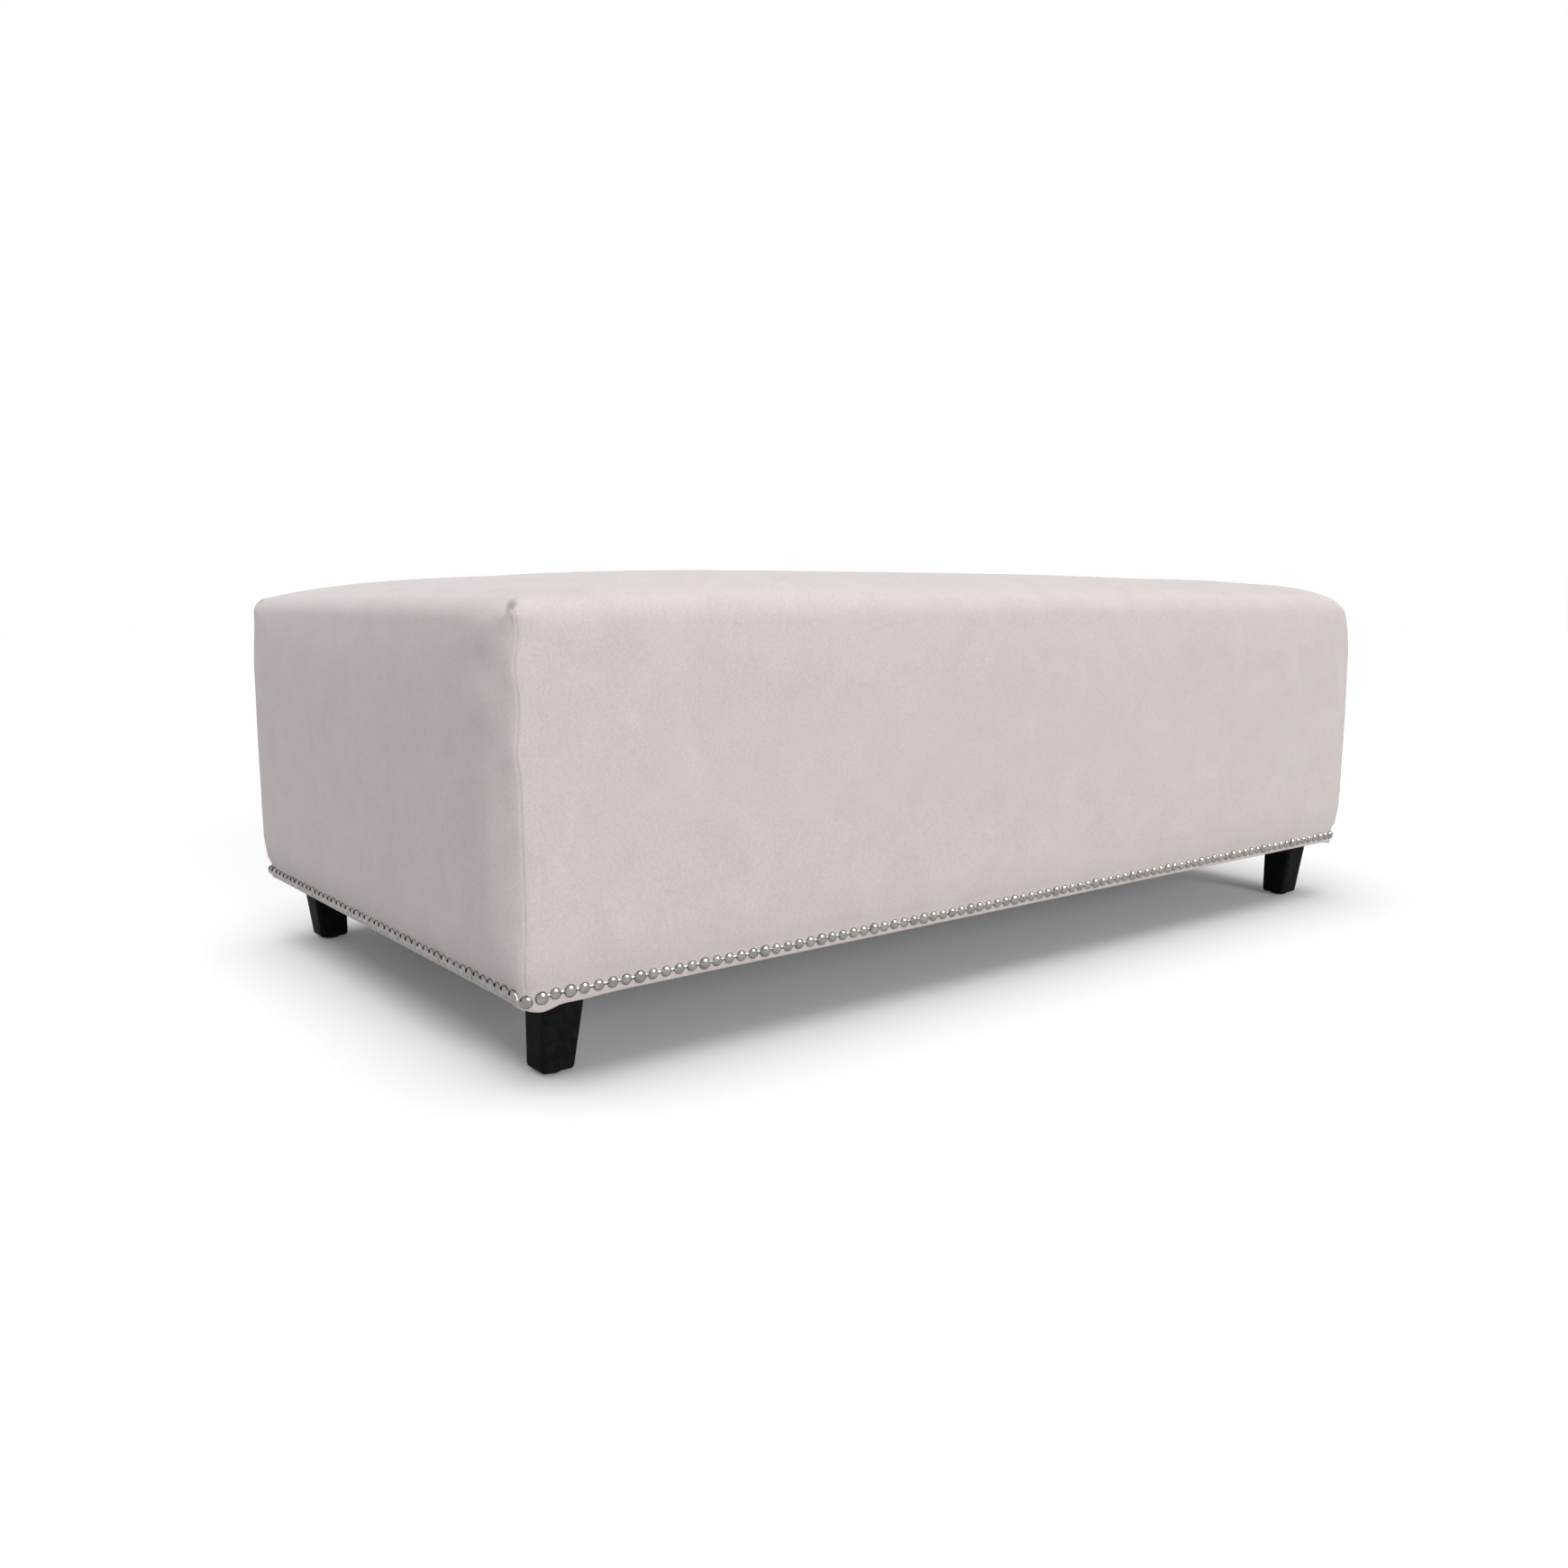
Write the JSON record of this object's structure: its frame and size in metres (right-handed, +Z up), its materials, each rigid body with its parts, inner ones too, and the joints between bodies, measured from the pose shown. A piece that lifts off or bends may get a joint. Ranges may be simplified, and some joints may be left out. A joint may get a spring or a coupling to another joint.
{
  "type": "upholstered ottoman",
  "caption": "Long rectangular upholstered ottoman with a crowned padded top, a linked bead trim along the bottom edge and short tapered square legs.",
  "frame": {"origin": "on the floor under the middle of the ottoman", "axes": "+X along its length, +Y from its front to its back, +Z up"},
  "size_m": [1.2282, 0.6712, 0.432],
  "materials": {
    "cover_fabric": "short-pile velvet, blush greige",
    "nickel_trim": "polished nickel plate",
    "leg_black": "black satin lacquer with a faint texture",
    "wadding": "soft polyester wadding",
    "foam": "open-cell foam",
    "deck_cloth": "coarse jute cloth",
    "spring_steel": "oiled spring steel",
    "zinc_plated_steel": "zinc plate",
    "frame_wood": "planed softwood",
    "dowel_wood": "fluted beech",
    "side_board": "plain brown board",
    "glide_plastic": "moulded nylon",
    "dust_cover_cloth": "thin black non-woven cloth"
  },
  "bodies": {
    "root": {"fabric_cover": "cover_fabric", "wadding_top": "wadding", "wadding_front": "wadding", "wadding_right": "wadding", "wadding_back": "wadding", "wadding_left": "wadding", "foam_pad": "foam", "deck_cloth": "deck_cloth", "sinuous_springs": "spring_steel", "spring_clips": "zinc_plated_steel", "clip_nails": "zinc_plated_steel", "frame_dowels": "dowel_wood", "stretcher_screws": "zinc_plated_steel", "corner_post_front_left": "frame_wood", "leg_front_left": "leg_black", "corner_post_front_right": "frame_wood", "leg_front_right": "leg_black", "corner_post_back_left": "frame_wood", "leg_back_left": "leg_black", "corner_post_back_right": "frame_wood", "leg_back_right": "leg_black", "bottom_rail_front": "frame_wood", "top_rail_front": "frame_wood", "side_board_front": "side_board", "nailhead_strip_front": "nickel_trim", "strip_nails_front": "nickel_trim", "bottom_rail_right": "frame_wood", "top_rail_right": "frame_wood", "side_board_right": "side_board", "nailhead_strip_right": "nickel_trim", "strip_nails_right": "nickel_trim", "bottom_rail_back": "frame_wood", "top_rail_back": "frame_wood", "side_board_back": "side_board", "nailhead_strip_back": "nickel_trim", "strip_nails_back": "nickel_trim", "bottom_rail_left": "frame_wood", "top_rail_left": "frame_wood", "side_board_left": "side_board", "nailhead_strip_left": "nickel_trim", "strip_nails_left": "nickel_trim", "corner_nails": "nickel_trim", "middle_post_front": "frame_wood", "middle_post_back": "frame_wood", "base_stretcher": "frame_wood", "top_spreader": "frame_wood", "leg_glides": "glide_plastic", "hanger_bolts": "zinc_plated_steel", "leg_inserts": "zinc_plated_steel", "dust_cover": "dust_cover_cloth", "dust_cover_staples": "zinc_plated_steel"}
  },
  "joints": []
}
